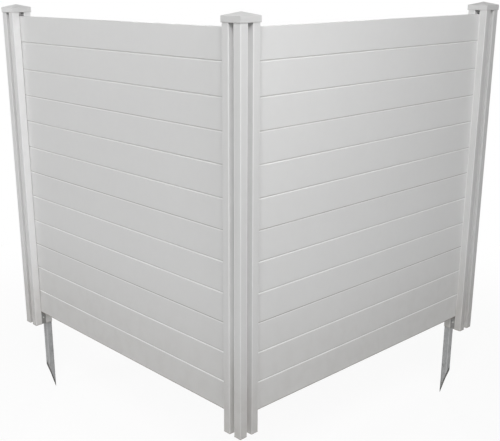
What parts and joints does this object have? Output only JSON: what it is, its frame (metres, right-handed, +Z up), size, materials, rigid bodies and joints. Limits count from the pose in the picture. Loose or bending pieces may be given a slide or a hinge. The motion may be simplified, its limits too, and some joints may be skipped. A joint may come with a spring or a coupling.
{
  "type": "bin enclosure",
  "caption": "Corner screen that hides bins: two walls of white vinyl planks between slotted square posts with pyramid caps, pinned by steel ground stakes.",
  "frame": {"origin": "middle of the corner post's foot, at ground level", "axes": "+Z up; the left wall runs from the corner post along -X and the right wall along +Y, so the outside of the corner faces +X and -Y"},
  "size_m": [1.3072, 1.3072, 1.5884],
  "materials": {
    "post_vinyl": "satin white extruded vinyl",
    "plank_vinyl": "satin white extruded vinyl",
    "cap_vinyl": "satin white moulded vinyl",
    "spacer_vinyl": "matt grey moulded vinyl",
    "screw_steel": "bright zinc plate",
    "galvanised_steel": "dull galvanised"
  },
  "bodies": {
    "screen": {"corner_post": "post_vinyl", "left_post": "post_vinyl", "right_post": "post_vinyl", "left_plank_bottom": "plank_vinyl", "left_plank_lower": "plank_vinyl", "left_plank_upper": "plank_vinyl", "left_plank_top": "plank_vinyl", "right_plank_bottom": "plank_vinyl", "right_plank_lower": "plank_vinyl", "right_plank_upper": "plank_vinyl", "right_plank_top": "plank_vinyl", "left_outer_spacer": "spacer_vinyl", "left_corner_spacer": "spacer_vinyl", "right_corner_spacer": "spacer_vinyl", "right_outer_spacer": "spacer_vinyl", "left_outer_spacer_screw": "screw_steel", "left_corner_spacer_screw": "screw_steel", "right_corner_spacer_screw": "screw_steel", "right_outer_spacer_screw": "screw_steel"},
    "corner_cap": {"corner_cap": "cap_vinyl"},
    "left_cap": {"left_cap": "cap_vinyl"},
    "right_cap": {"right_cap": "cap_vinyl"},
    "left_stake": {"left_stake": "galvanised_steel"},
    "right_stake": {"right_stake": "galvanised_steel"}
  },
  "joints": [
    {"name": "corner_cap_lift", "type": "slide", "parent": "screen", "child": "corner_cap", "axis": [0, 0, 1], "range_m": [0, 0.06]},
    {"name": "left_cap_lift", "type": "slide", "parent": "screen", "child": "left_cap", "axis": [0, 0, 1], "range_m": [0, 0.06]},
    {"name": "right_cap_lift", "type": "slide", "parent": "screen", "child": "right_cap", "axis": [0, 0, 1], "range_m": [0, 0.06]},
    {"name": "left_stake_slide", "type": "slide", "parent": "screen", "child": "left_stake", "axis": [0, 0, -1], "range_m": [-0.3, 0.3]},
    {"name": "right_stake_slide", "type": "slide", "parent": "screen", "child": "right_stake", "axis": [0, 0, -1], "range_m": [-0.3, 0.3]}
  ]
}
